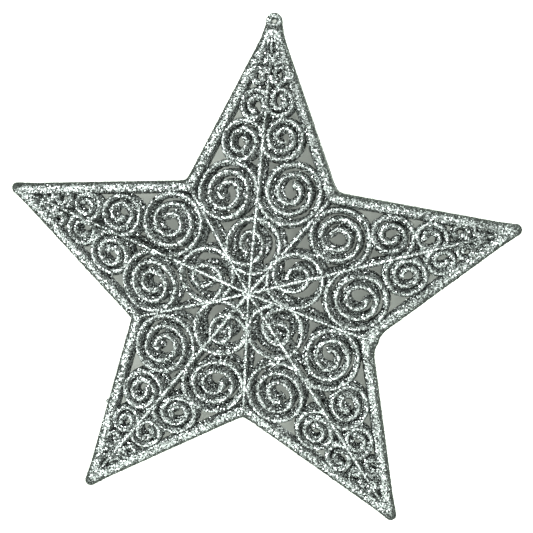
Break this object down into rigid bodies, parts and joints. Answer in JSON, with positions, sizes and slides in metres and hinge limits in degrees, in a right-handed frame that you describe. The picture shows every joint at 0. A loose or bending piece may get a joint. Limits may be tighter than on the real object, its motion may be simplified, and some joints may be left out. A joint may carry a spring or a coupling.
{
  "type": "hanging filigree star",
  "caption": "Hollow five-pointed star ornament: two domed openwork shells of scrolls and ribs joined at a bevelled rim, with a hanging eye at the top point.",
  "frame": {"origin": "centre of the star, in the seam plane between the two half shells", "axes": "+Z towards the top point and its hanging eye, -Y out of the front shell, +X to the right seen from the front"},
  "size_m": [0.1974, 0.0298, 0.1895],
  "materials": {
    "silver_glitter": "moulded plastic coated all over in silver glitter",
    "bare_plastic": "uncoated moulding"
  },
  "bodies": {
    "root": {"front_rim": "silver_glitter", "front_ridge_ribs": "silver_glitter", "front_valley_ribs": "silver_glitter", "front_centre_boss": "silver_glitter", "front_scrolls_top": "silver_glitter", "front_scrolls_left": "silver_glitter", "front_scrolls_lower_left": "silver_glitter", "front_scrolls_lower_right": "silver_glitter", "front_scrolls_right": "silver_glitter", "back_rim": "silver_glitter", "back_ridge_ribs": "silver_glitter", "back_valley_ribs": "silver_glitter", "back_centre_boss": "silver_glitter", "back_scrolls_top": "silver_glitter", "back_scrolls_left": "silver_glitter", "back_scrolls_lower_left": "silver_glitter", "back_scrolls_lower_right": "silver_glitter", "back_scrolls_right": "silver_glitter", "locating_pins": "bare_plastic", "hang_eye": "silver_glitter", "gate_vestige": "silver_glitter"}
  },
  "joints": []
}
